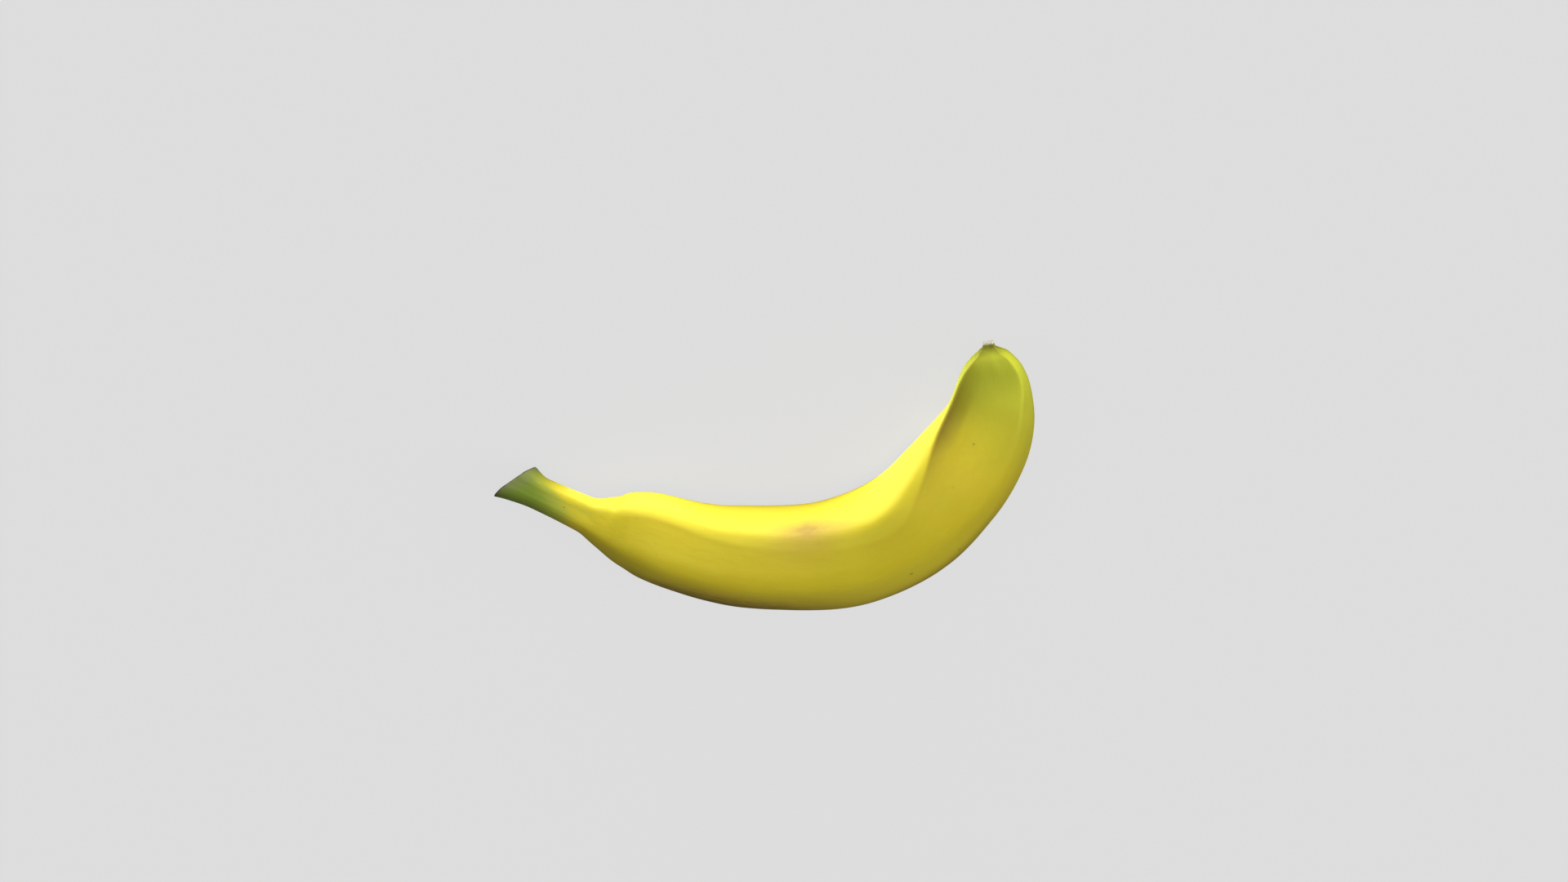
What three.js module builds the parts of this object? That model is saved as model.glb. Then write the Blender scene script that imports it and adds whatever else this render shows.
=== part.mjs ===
// A banana, picked and lying on its side: one solid, from the cut stem to the blossom tip.
// Sizes are in millimetres and angles in degrees. The fruit rests on the plane z = 0, its
// length runs along X with the stem towards -X, and both ends curve towards +Y.

import * as THREE from "three";
import { ConvexHull } from "three/addons/math/ConvexHull.js";

const { degToRad, lerp, smoothstep } = THREE.MathUtils;

// Lengths along the middle line, from the cut stem to the blossom tip.
const STEM_LENGTH = 27;
const NECK_LENGTH = 15.5;
const BODY_LENGTH = 155.5;
const TAPER_LENGTH = 20;
const NUB_LENGTH = 3;

// Radii along the same line.
const CUT_RADIUS = 7.8;
const STEM_RADIUS = 6.1;
const NECK_RADIUS = 6.8;
const SHOULDER_RADIUS = 13.4;
const BODY_RADIUS = 21.6;
const TAPER_RADIUS = 14.3;
const NUB_FOOT_RADIUS = 4;
const NUB_RADIUS = 2.5;

// The heading of the middle line at the stem, in the plane of the curve, and how far it turns
// on the way to the tip.
const STEM_HEADING = -29;
const TURN = 131;

// The cut across the stem leans: it runs on this much per millimetre towards the inner curve
// and towards the upper side. The slanted rings square up over CUT_FADE.
const CUT_SLOPE_IN = 0.4;
const CUT_SLOPE_UP = -0.5;
const CUT_FADE = 14;

// Faces between two ridges, from round (0) to flat (1).
const FLANK_FLATNESS = 1;
const INNER_FLATNESS = 0.5;
const OUTER_FLATNESS = 0.25;

// How far the peel gives where the fruit lies on a surface.
const REST_DEPTH = 0.5;

const SIDES = 32;
const RINGS_PER_STRETCH = 4;
const PEEL_COLOR = 0xd9bf2c;
const PEEL_ROUGHNESS = 0.55;

// Where each stretch starts.
const NECK = STEM_LENGTH;
const BODY = NECK + NECK_LENGTH;
const TAPER = BODY + BODY_LENGTH;
const NUB = TAPER + TAPER_LENGTH;
const TIP = NUB + NUB_LENGTH;

// Stations along the middle line: the share of TURN made so far, the radius, the angles of the
// two ridges of a flank (from the flank, 0, to the inner curve, 90), and how crisp the ridges are.
const STATIONS = [
  station(0, 0, CUT_RADIUS, 45, -5, 14),
  station(0.37 * NECK, 0.01, STEM_RADIUS, 46, -5, 14),
  station(NECK, 0.015, NECK_RADIUS, 50, -3, 14),
  station(lerp(NECK, BODY, 0.48), 0.065, lerp(NECK_RADIUS, SHOULDER_RADIUS, 0.42), 54, -2, 15),
  station(BODY, 0.11, SHOULDER_RADIUS, 52, -1, 16),
  bodyStation(0.065, 0.065, 0.727, 48, 0, 16),
  bodyStation(0.155, 0.105, 0.769, 44, 1, 16),
  bodyStation(0.275, 0.195, 0.843, 40, 2, 14),
  bodyStation(0.4, 0.245, 0.889, 33, 2, 13),
  bodyStation(0.53, 0.393, 0.972, 29, 1, 12),
  bodyStation(0.66, 0.527, 1, 30, 0, 15),
  bodyStation(0.78, 0.595, 0.926, 43, -14, 18),
  bodyStation(0.9, 0.71, 0.806, 62, -28, 20),
  station(TAPER, 0.87, TAPER_RADIUS, 68, -42, 20),
  station(lerp(TAPER, NUB, 0.625), 0.94, lerp(TAPER_RADIUS, NUB_FOOT_RADIUS, 0.37), 66, -58, 20),
  station(lerp(TAPER, NUB, 0.875), 0.973, lerp(TAPER_RADIUS, NUB_FOOT_RADIUS, 0.71), 62, -56, 16),
  station(NUB, 0.99, NUB_FOOT_RADIUS, 60, -50, 10),
  station(lerp(NUB, TIP, 0.4), 1, lerp(NUB_FOOT_RADIUS, NUB_RADIUS, 0.8), 60, -45, 8),
  station(TIP, 1, NUB_RADIUS, 60, -45, 8),
];

function station(at, turn, radius, innerRidge, sideRidge, crispness) {
  const heading = degToRad(STEM_HEADING + turn * TURN);
  return { at, heading, radius, innerRidge, sideRidge, crispness };
}

// A station a share of the way along the body, with its girth as a share of the widest.
function bodyStation(along, turn, girth, innerRidge, sideRidge, crispness) {
  const at = BODY + along * BODY_LENGTH;
  return station(at, turn, girth * BODY_RADIUS, innerRidge, sideRidge, crispness);
}

// The slope at each knot that lets a curve pass through all of them without overshooting.
function knotSlopes(x, y) {
  const step = x.slice(1).map((value, k) => value - x[k]);
  const rise = step.map((value, k) => (y[k + 1] - y[k]) / value);
  return x.map((_, k) => {
    if (k === 0) return rise[0];
    if (k === x.length - 1) return rise[k - 1];
    if (rise[k - 1] * rise[k] <= 0) return 0;
    const before = 2 * step[k] + step[k - 1];
    const after = step[k] + 2 * step[k - 1];
    return (before + after) / (before / rise[k - 1] + after / rise[k]);
  });
}

// A smooth function of the distance along the fruit through one value of every station.
function alongFruit(key) {
  const x = STATIONS.map((row) => row.at);
  const y = STATIONS.map((row) => row[key]);
  const slope = knotSlopes(x, y);
  return (at) => {
    const next = x.findIndex((value) => value > at);
    const k = next < 1 ? x.length - 2 : next - 1;
    const step = x[k + 1] - x[k];
    const t = (at - x[k]) / step;
    const bend = t * t * (3 - 2 * t);
    const leave = t * (1 - t) * (1 - t) * step * slope[k];
    const arrive = t * t * (t - 1) * step * slope[k + 1];
    return lerp(y[k], y[k + 1], bend) + leave + arrive;
  };
}

// Distances of the rings: every stretch between two stations is cut into equal steps.
function ringDistances() {
  const rings = [];
  for (let k = 0; k + 1 < STATIONS.length; k++)
    for (let step = 0; step < RINGS_PER_STRETCH; step++)
      rings.push(lerp(STATIONS[k].at, STATIONS[k + 1].at, step / RINGS_PER_STRETCH));
  return [...rings, TIP];
}

// The five faces of a section: the direction each faces, and its distance for a radius of 1.
function sectionFaces(innerRidge, sideRidge) {
  const face = (middle, halfWidth, flatness) => ({
    middle: degToRad(middle),
    distance: 1 - flatness * (1 - Math.cos(degToRad(halfWidth))),
  });
  const flank = (innerRidge + sideRidge) / 2;
  const outer = (sideRidge - 90) / 2;
  return [
    face(flank, innerRidge - flank, FLANK_FLATNESS),
    face(180 - flank, innerRidge - flank, FLANK_FLATNESS),
    face(90, 90 - innerRidge, INNER_FLATNESS),
    face(outer, sideRidge - outer, OUTER_FLATNESS),
    face(180 - outer, sideRidge - outer, OUTER_FLATNESS),
  ];
}

// The radius of a section at an angle: a circle of radius 1 trimmed by its faces.
function sectionRadius(angle, faces, crispness) {
  const trims = faces.map(({ middle, distance }) => {
    return (Math.max(0, Math.cos(angle - middle)) / distance) ** crispness;
  });
  return trims.reduce((sum, trim) => sum + trim, 1) ** (-1 / crispness);
}

// Points of every ring, with the curve of the fruit in the XY plane and the upper flank at +Z.
function ringPoints() {
  const heading = alongFruit("heading");
  const radius = alongFruit("radius");
  const innerRidge = alongFruit("innerRidge");
  const sideRidge = alongFruit("sideRidge");
  const crispness = alongFruit("crispness");
  const middle = new THREE.Vector3();
  let last = 0;
  return ringDistances().map((at) => {
    const halfway = heading((last + at) / 2);
    middle.x += (at - last) * Math.cos(halfway);
    middle.y += (at - last) * Math.sin(halfway);
    last = at;
    const forward = new THREE.Vector3(Math.cos(heading(at)), Math.sin(heading(at)), 0);
    const inward = new THREE.Vector3(-forward.y, forward.x, 0);
    const faces = sectionFaces(innerRidge(at), sideRidge(at));
    const slant = 1 - smoothstep(at, 0, CUT_FADE);
    return Array.from({ length: SIDES }, (_, side) => {
      const angle = (side / SIDES) * 2 * Math.PI;
      const reach = radius(at) * sectionRadius(angle, faces, crispness(at));
      const up = reach * Math.cos(angle);
      const inside = reach * Math.sin(angle);
      const lean = slant * (CUT_SLOPE_IN * inside + CUT_SLOPE_UP * up);
      return middle.clone().addScaledVector(forward, lean)
        .addScaledVector(inward, inside).add(new THREE.Vector3(0, 0, up));
    });
  });
}

// One closed surface over the rings, with a fan over the stem's cut and one over the tip.
function closedSurface(rings) {
  const points = rings.flat();
  const faces = [];
  for (let ring = 0; ring + 1 < rings.length; ring++)
    for (let side = 0; side < SIDES; side++) {
      const a = ring * SIDES + side;
      const b = ring * SIDES + ((side + 1) % SIDES);
      faces.push([a, a + SIDES, b], [b, a + SIDES, b + SIDES]);
    }
  const lastRing = (rings.length - 1) * SIDES;
  const cutMiddle = points.push(middleOf(rings[0])) - 1;
  const tipMiddle = points.push(middleOf(rings.at(-1))) - 1;
  for (let side = 0; side < SIDES; side++) {
    const next = (side + 1) % SIDES;
    faces.push([cutMiddle, side, next], [tipMiddle, lastRing + next, lastRing + side]);
  }
  return { points, faces };
}

function middleOf(points) {
  const sum = points.reduce((total, point) => total.add(point), new THREE.Vector3());
  return sum.divideScalar(points.length);
}

// The centre of mass, from the tetrahedra between the origin and each face.
function massCentre({ points, faces }) {
  const moment = new THREE.Vector3();
  let volume = 0;
  for (const [a, b, c] of faces.map((face) => face.map((index) => points[index]))) {
    const share = a.dot(b.clone().cross(c)) / 6;
    volume += share;
    moment.addScaledVector(a.clone().add(b).add(c), share / 4);
  }
  return moment.divideScalar(volume);
}

// Whether a line from a point along a hull face's normal passes inside that face.
function passesInside(face, point) {
  let edge = face.edge;
  do {
    const along = edge.head().point.clone().sub(edge.tail().point);
    const across = along.cross(point.clone().sub(edge.tail().point));
    if (across.dot(face.normal) < 0) return false;
    edge = edge.next;
  } while (edge !== face.edge);
  return true;
}

// The direction that points down when the fruit lies at rest: the normal of the hull face
// below the centre of mass, out of those that the lower flank turns to the ground.
function restingDirection(surface) {
  const centre = massCentre(surface);
  const hull = new ConvexHull().setFromPoints(surface.points);
  const below = hull.faces.filter((face) => passesInside(face, centre));
  return below.sort((a, b) => a.normal.z - b.normal.z)[0].normal;
}

// Turns the fruit to its rest, presses it on the ground and centres it over the origin.
function layDown(surface) {
  const down = new THREE.Vector3(0, 0, -1);
  const turn = new THREE.Quaternion().setFromUnitVectors(restingDirection(surface), down);
  for (const point of surface.points) point.applyQuaternion(turn);
  const box = new THREE.Box3().setFromPoints(surface.points);
  const centre = box.getCenter(new THREE.Vector3());
  for (const point of surface.points) {
    point.x -= centre.x;
    point.y -= centre.y;
    point.z = Math.max(0, point.z - box.min.z - REST_DEPTH);
  }
  return surface;
}

function toGeometry({ points, faces }) {
  const geometry = new THREE.BufferGeometry().setFromPoints(points);
  geometry.setIndex(faces.flat());
  geometry.computeVertexNormals();
  return geometry;
}

const peel = new THREE.MeshStandardMaterial({
  color: PEEL_COLOR,
  roughness: PEEL_ROUGHNESS,
  metalness: 0,
});
const banana = new THREE.Mesh(toGeometry(layDown(closedSurface(ringPoints()))), peel);
banana.name = "banana";

const group = new THREE.Group();
group.add(banana);

export default group;
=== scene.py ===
"""A ripe banana lying on one flank, dressed and lit for a studio picture.

The fruit is one continuous skin: the peel, the cut end of the stem and the dry scar of the
blossom are regions of one mesh.  The scene is in metres, +Z is up, and the fruit rests on the
floor at z = 0.  The fruit's own frame, before it is laid down, is in millimetres: its middle
line lies in the XY plane, with the stem at the origin and the upper flank towards +Z.  Round
the fruit, 0 degrees is the upper flank, 90 the inner curve and -90 the outer back.
"""

import logging
import math
from dataclasses import dataclass
from enum import Enum

import bmesh
import bpy
import numpy as np
from mathutils import Matrix, Vector


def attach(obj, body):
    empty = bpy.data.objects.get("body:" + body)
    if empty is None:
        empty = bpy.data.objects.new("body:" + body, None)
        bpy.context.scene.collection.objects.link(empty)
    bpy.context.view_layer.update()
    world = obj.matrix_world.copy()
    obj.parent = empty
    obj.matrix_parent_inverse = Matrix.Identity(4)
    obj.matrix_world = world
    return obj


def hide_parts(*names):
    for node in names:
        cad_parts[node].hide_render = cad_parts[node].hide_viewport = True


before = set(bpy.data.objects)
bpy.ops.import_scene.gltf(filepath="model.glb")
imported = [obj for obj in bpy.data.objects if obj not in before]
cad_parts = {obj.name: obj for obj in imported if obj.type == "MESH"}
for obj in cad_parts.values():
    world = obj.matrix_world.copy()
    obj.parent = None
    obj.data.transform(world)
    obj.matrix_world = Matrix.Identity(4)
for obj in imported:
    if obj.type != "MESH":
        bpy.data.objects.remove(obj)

LOG = logging.getLogger("banana")
MM = 0.001
CAD_NODE = "banana"
STRAIGHT = "straight"

Array = np.ndarray
Colour = tuple[float, float, float]
Tree = bpy.types.NodeTree
Socket = bpy.types.NodeSocket
Marks = dict[object, Socket]
Bumps = tuple[tuple[str, float, float], ...]


def smoothstep(value: Array, low: float, high: float) -> Array:
    """Return a smooth 0 to 1 rise of value between low and high."""
    share = np.clip((value - low) / (high - low), 0.0, 1.0)
    return share * share * (3.0 - 2.0 * share)


def hump(value: Array, centre: float | Array, width: float) -> Array:
    """Return a bell that is 1 at the centre and fades over about the width."""
    return np.exp(-(((value - centre) / width) ** 2))


def turn_between(angle: Array, other: float | Array) -> Array:
    """Return the signed difference of two angles in degrees, within half a turn."""
    return (angle - other + 180.0) % 360.0 - 180.0


def in_scene(name: str, data: bpy.types.ID) -> bpy.types.Object:
    """Return a new object with this data, in the scene."""
    made = bpy.data.objects.new(name, data)
    bpy.context.scene.collection.objects.link(made)
    return made


class Region(Enum):
    """The parts of the skin that take different finishes, in material slot order."""

    PEEL = 0
    STEM_CUT = 1
    BLOSSOM_SCAR = 2


class Mask(Enum):
    """The painted shares stored on the skin's vertices."""

    GREEN_STEM = "green_stem"
    GREEN_TIP = "green_tip"
    BRUISE = "bruise"
    # a browned belly tint, partly real and partly painted shade, darker towards the lower back
    BROWNING = "browning"
    # painted shade: darker peel beside the tip's inner ridge and along the lower back edges
    SHADE = "shade"
    LIP = "lip"
    RIDGE = "ridge"
    DRY_END = "dry_end"
    # painted highlight: the inner face painted paler, as if lit
    INSIDE = "inside"


# --- The form of the fruit ---


@dataclass(frozen=True)
class Station:
    """One cross-section of the fruit, in millimetres and degrees."""

    at: float
    turn: float
    radius: float
    inner_ridge: float
    side_ridge: float
    crispness: float


@dataclass(frozen=True)
class FruitSizes:
    """The driving sizes of the fruit, in millimetres and degrees."""

    stem_length: float = 27.0
    neck_length: float = 15.5
    body_length: float = 155.5
    taper_length: float = 20.0
    nub_length: float = 3.0
    cut_radius: float = 7.8
    stem_radius: float = 6.1
    neck_radius: float = 6.8
    shoulder_radius: float = 13.4
    body_radius: float = 21.6
    taper_radius: float = 14.3
    nub_foot_radius: float = 4.0
    nub_radius: float = 2.5
    stem_heading: float = -29.0
    turn: float = 131.0
    cut_slope_in: float = 0.4
    cut_slope_up: float = -0.5
    cut_fade: float = 14.0
    flank_flatness: float = 1.0
    inner_flatness: float = 0.5
    outer_flatness: float = 0.25
    rest_depth: float = 0.5

    @property
    def body(self) -> float:
        """Return the distance at which the body starts."""
        return self.stem_length + self.neck_length

    @property
    def taper(self) -> float:
        """Return the distance at which the taper starts."""
        return self.body + self.body_length

    @property
    def nub(self) -> float:
        """Return the distance at which the nub starts."""
        return self.taper + self.taper_length

    @property
    def tip(self) -> float:
        """Return the whole length of the middle line."""
        return self.nub + self.nub_length


class MonotoneCurve:
    """A smooth curve through all its knots that never overshoots between them."""

    def __init__(self, x: list[float], y: list[float]) -> None:
        """Store the knots, whose places x rise, and work out their slopes."""
        self.x = np.asarray(x, float)
        self.y = np.asarray(y, float)
        self.slope = self._knot_slopes()

    def _knot_slopes(self) -> Array:
        """Return the slope at each knot, a weighted harmonic mean of its neighbours'."""
        step = np.diff(self.x)
        rise = np.diff(self.y) / step
        slope = np.zeros(len(self.x))
        slope[0], slope[-1] = rise[0], rise[-1]
        for k in range(1, len(self.x) - 1):
            if rise[k - 1] * rise[k] > 0:
                before = 2 * step[k] + step[k - 1]
                after = step[k] + 2 * step[k - 1]
                slope[k] = (before + after) / (before / rise[k - 1] + after / rise[k])
        return slope

    def __call__(self, at: Array) -> Array:
        """Return the curve's values at these places."""
        k = np.clip(np.searchsorted(self.x, at, side="right") - 1, 0, len(self.x) - 2)
        step = self.x[k + 1] - self.x[k]
        t = (at - self.x[k]) / step
        bend = t * t * (3 - 2 * t)
        leave = t * (1 - t) ** 2 * step * self.slope[k]
        arrive = t * t * (t - 1) * step * self.slope[k + 1]
        return self.y[k] + (self.y[k + 1] - self.y[k]) * bend + leave + arrive


@dataclass(frozen=True)
class Swell:
    """A value that rises to a peak along the fruit and falls again, in millimetres."""

    peak: float
    at: float
    width: float

    def over(self, at: Array) -> Array:
        """Return its value at these distances along the fruit."""
        return self.peak * hump(at, self.at, self.width)


@dataclass(frozen=True)
class RidgeDetail:
    """How the shown skin's ridges differ a little from the plain form's."""

    shifts: tuple[Swell, ...] = (
        Swell(-8.0, 37, 11), Swell(-4.5, 92, 26), Swell(-13.0, 145, 18), Swell(11.0, 197, 18))
    crisper: tuple[Swell, ...] = (Swell(1.3, 212, 9), Swell(0.9, 92, 26), Swell(0.35, 190, 20))
    blunt_side: Swell = Swell(0.68, 186, 20)
    blunt_angle: float = 36.0

    def shift(self, at: Array) -> Array:
        """Return by how many degrees the inner ridge is moved at each distance."""
        return sum(swell.over(at) for swell in self.shifts)

    def sharpen(self, at: Array, from_side: Array) -> Array:
        """Return by what factor the ridges are crisper, by place and degrees from the side's."""
        crisper = 1 + sum(swell.over(at) for swell in self.crisper)
        return crisper * (1 - self.blunt_side.over(at) * hump(from_side, 0, self.blunt_angle))


@dataclass
class SkinGrid:
    """A grid of points over the fruit: rings along it, columns round it."""

    at: Array
    angle: Array
    points: Array
    inner_ridge: Array
    side_ridge: Array
    reach: Array
    forward: Array

    def straight(self) -> Array:
        """Return each point's place on the fruit as if it had grown without a bend."""
        turned = np.radians(self.angle)
        along = np.broadcast_to(self.at, self.reach.shape)
        return np.stack([self.reach * np.cos(turned), self.reach * np.sin(turned), along], -1)

    def normals(self) -> Array:
        """Return the unit normals of the wall, pointing out of the fruit."""
        lengthwise = np.gradient(self.points, axis=0)
        crosswise = np.roll(self.points, -1, 1) - np.roll(self.points, 1, 1)
        across = np.cross(crosswise, lengthwise)
        outward = self.points - self.points.mean(axis=1, keepdims=True)
        across *= np.sign((across * outward).sum(-1).mean())
        return across / np.linalg.norm(across, axis=-1, keepdims=True)

    def off(self, line: float | Array) -> Array:
        """Return by how many degrees each point is past a line along the fruit."""
        return turn_between(self.angle, line)

    def off_mm(self, line: float | Array) -> Array:
        """Return how far round the skin each point is past a line, in millimetres."""
        return np.radians(self.off(line)) * self.reach

    def stretch(self, start: float, full: float, fading: float, end: float) -> Array:
        """Return 1 from full to fading, and less outside, down to 0 at start and end."""
        return smoothstep(self.at, start, full) * (1 - smoothstep(self.at, fading, end))


class FruitForm:
    """The bent, ridged and tapering form of the whole fruit."""

    def __init__(self, sizes: FruitSizes) -> None:
        """Lay out the stations."""
        self.sizes = sizes
        self.stations = self._stations()

    def _stations(self) -> list[Station]:
        """Return all cross-sections from the stem's cut to the tip."""
        s = self.sizes

        def mix(low: float, high: float, share: float) -> float:
            """Return the value a share of the way from low to high."""
            return low + (high - low) * share

        def body(along: float, turn: float, girth: float, *ridges: float) -> Station:
            """Return a station on the body, at a share of its length and of its girth."""
            return Station(s.body + along * s.body_length, turn, girth * s.body_radius, *ridges)

        return [
            Station(0, 0, s.cut_radius, 45, -5, 14),
            Station(0.37 * s.stem_length, 0.01, s.stem_radius, 46, -5, 14),
            Station(s.stem_length, 0.015, s.neck_radius, 50, -3, 14),
            Station(mix(s.stem_length, s.body, 0.48), 0.065,
                    mix(s.neck_radius, s.shoulder_radius, 0.42), 54, -2, 15),
            Station(s.body, 0.11, s.shoulder_radius, 52, -1, 16),
            body(0.065, 0.065, 0.727, 48, 0, 16),
            body(0.155, 0.105, 0.769, 44, 1, 16),
            body(0.275, 0.195, 0.843, 40, 2, 14),
            body(0.4, 0.245, 0.889, 33, 2, 13),
            body(0.53, 0.393, 0.972, 29, 1, 12),
            body(0.66, 0.527, 1, 30, 0, 15),
            body(0.78, 0.595, 0.926, 43, -14, 18),
            body(0.9, 0.71, 0.806, 62, -28, 20),
            Station(s.taper, 0.87, s.taper_radius, 68, -42, 20),
            Station(mix(s.taper, s.nub, 0.625), 0.94,
                    mix(s.taper_radius, s.nub_foot_radius, 0.37), 66, -58, 20),
            Station(mix(s.taper, s.nub, 0.875), 0.973,
                    mix(s.taper_radius, s.nub_foot_radius, 0.71), 62, -56, 16),
            Station(s.nub, 0.99, s.nub_foot_radius, 60, -50, 10),
            Station(mix(s.nub, s.tip, 0.4), 1,
                    mix(s.nub_foot_radius, s.nub_radius, 0.8), 60, -45, 8),
            Station(s.tip, 1, s.nub_radius, 60, -45, 8),
        ]

    def profile(self, name: str) -> MonotoneCurve:
        """Return one field of the stations as a smooth curve along the middle line."""
        return MonotoneCurve([row.at for row in self.stations],
                             [getattr(row, name) for row in self.stations])

    def ring_distances(self, longest_step: float) -> Array:
        """Return the rings' distances, with every stretch cut into equal steps.

        Args:
            longest_step: The longest step between rings, or 0 for four steps a stretch.

        Returns:
            Rising distances from the cut to the tip.
        """
        rings: list[float] = []
        for low, high in zip(self.stations, self.stations[1:]):
            count = math.ceil((high.at - low.at) / longest_step) if longest_step else 4
            rings += list(np.linspace(low.at, high.at, count, endpoint=False))
        return np.array([*rings, self.sizes.tip])

    def _section(self, angle: Array, inner: Array, side: Array,
                 crispness: Array) -> Array:
        """Return the section's radius: a unit circle trimmed by five nearly flat faces.

        Args:
            angle: Directions in degrees.
            inner: The inner ridge's direction.
            side: The side ridge's direction.
            crispness: How sharply the faces meet.

        Returns:
            The radius for a girth of 1.
        """
        s = self.sizes
        flank, outer = (inner + side) / 2, (side - 90) / 2
        faces = [
            (flank, inner - flank, s.flank_flatness),
            (180 - flank, inner - flank, s.flank_flatness),
            (90 + 0 * inner, 90 - inner, s.inner_flatness),
            (outer, side - outer, s.outer_flatness),
            (180 - outer, side - outer, s.outer_flatness),
        ]
        total = np.ones(np.broadcast(angle, inner).shape)
        for middle, half, flatness in faces:
            distance = 1 - flatness * (1 - np.cos(np.radians(half)))
            facing = np.maximum(0.0, np.cos(np.radians(angle - middle)))
            total = total + (facing / distance) ** crispness
        return total ** (-1 / crispness)

    def heading(self, at: Array) -> Array:
        """Return the direction of growth in degrees at each distance."""
        return self.sizes.stem_heading + self.sizes.turn * self.profile("turn")(at)

    def _middle_line(self, at: Array) -> Array:
        """Return the middle line's points at rising distances that start at 0."""
        halfway = np.radians(self.heading((at[1:] + at[:-1]) / 2))
        steps = np.stack([np.cos(halfway), np.sin(halfway), 0 * halfway], -1)
        return np.pad(np.cumsum(steps * np.diff(at)[:, None], 0), ((1, 0), (0, 0)))

    def grid(self, at: Array, sides: int, detail: RidgeDetail | None = None) -> SkinGrid:
        """Return a grid of points over the wall of the fruit.

        Args:
            at: Rising distances of the rings from 0.
            sides: Number of points in a ring.
            detail: How the ridges differ from the plain form's.

        Returns:
            The grid, in the fruit's own frame.
        """
        s = self.sizes
        angle = (np.arange(sides) * 360.0 / sides)[None, :]
        radius, inner, side, crispness = (
            self.profile(name)(at)[:, None]
            for name in ("radius", "inner_ridge", "side_ridge", "crispness"))
        if detail:
            inner = inner + detail.shift(at)[:, None]
            crispness = crispness * detail.sharpen(at[:, None], turn_between(angle, side))
        heading = np.radians(self.heading(at))
        forward = np.stack([np.cos(heading), np.sin(heading), 0 * heading], -1)[:, None]
        inward = np.stack([-np.sin(heading), np.cos(heading), 0 * heading], -1)[:, None]
        reach = radius * self._section(angle, inner, side, crispness)
        up = (reach * np.cos(np.radians(angle)))[..., None]
        inside = (reach * np.sin(np.radians(angle)))[..., None]
        slant = (1 - smoothstep(at, 0, s.cut_fade))[:, None, None]
        lean = slant * (s.cut_slope_in * inside + s.cut_slope_up * up)
        points = self._middle_line(at)[:, None] + forward * lean + inward * inside
        points = points + np.array([0.0, 0.0, 1.0]) * up
        return SkinGrid(at[:, None], angle, points, inner, side, reach, forward)


@dataclass
class RestPose:
    """How the fruit lies: the turn from its own frame, and the move that follows."""

    turn: Array
    move: Array

    @classmethod
    def of(cls, form: FruitForm, sides: int = 32) -> "RestPose":
        """Return the pose in which the fruit rests on its lower flank, from a plain surface."""
        rings = form.grid(form.ring_distances(0), sides).points
        down = cls._resting_direction(rings)
        turn = np.array(Vector(down).rotation_difference(Vector((0, 0, -1))).to_matrix())
        laid = rings.reshape(-1, 3) @ turn.T
        low, high = laid.min(0), laid.max(0)
        middle = (low + high) / 2
        return cls(turn, np.array([-middle[0], -middle[1], -low[2] - form.sizes.rest_depth]))

    @staticmethod
    def _resting_direction(rings: Array) -> Array:
        """Return the outward normal of the hull face that the fruit stands on."""
        mesh = bmesh.new()
        verts = [mesh.verts.new(p) for p in rings.reshape(-1, 3)]
        ends = [mesh.verts.new(rings[k].mean(0)) for k in (0, -1)]
        bmesh.ops.convex_hull(mesh, input=verts + ends)
        centre = RestPose._mass_centre(rings)
        found: list[Array] = []
        for face in mesh.faces:
            normal = np.array(face.normal)
            corners = np.array([v.co for v in face.verts])
            if normal @ (corners[0] - centre) < 0:
                normal, corners = -normal, corners[::-1]
            sides = np.roll(corners, -1, 0) - corners
            inside = np.cross(sides, centre - corners) @ normal
            if len(corners) > 2 and (inside > 0).all():
                found.append(normal)
        mesh.free()
        return min(found, key=lambda normal: normal[2])

    @staticmethod
    def _mass_centre(rings: Array) -> Array:
        """Return the centre of mass of the solid inside the rings."""
        a, b = rings[:-1], rings[1:]
        a_next, b_next = np.roll(a, -1, 1), np.roll(b, -1, 1)
        triangles = [np.stack(t, -2).reshape(-1, 3, 3) for t in
                     ((a, b, a_next), (a_next, b, b_next))]
        for ring, turned in ((rings[0], 1), (rings[-1], -1)):
            middle = np.broadcast_to(ring.mean(0), ring.shape)
            triangles.append(np.stack([middle, ring, np.roll(ring, -1, 0)][::turned], -2))
        corners = np.concatenate(triangles)
        share = np.linalg.det(corners)
        return (corners.sum(1) * share[:, None] / 4).sum(0) / share.sum()

    def place(self, points: Array, softness: float = 0.12) -> Array:
        """Return points laid down and pressed on the floor, in metres.

        Args:
            points: Points in the fruit's own frame.
            softness: How gently the skin bends onto the floor, in millimetres.
        """
        laid = points @ self.turn.T + self.move
        height = laid[..., 2]
        laid[..., 2] = (height + np.sqrt(height**2 + softness**2)) / 2
        return laid * MM

    def place_free(self, point: Array) -> Vector:
        """Return a point of the fruit's own frame where it lies, in metres."""
        return Vector((self.turn @ point + self.move) * MM)

    def direction(self, vector: Array) -> Vector:
        """Return a direction of the fruit's own frame as it points at rest."""
        return Vector(self.turn @ vector).normalized()


# --- The relief of the skin and the shares painted on it ---


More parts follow.
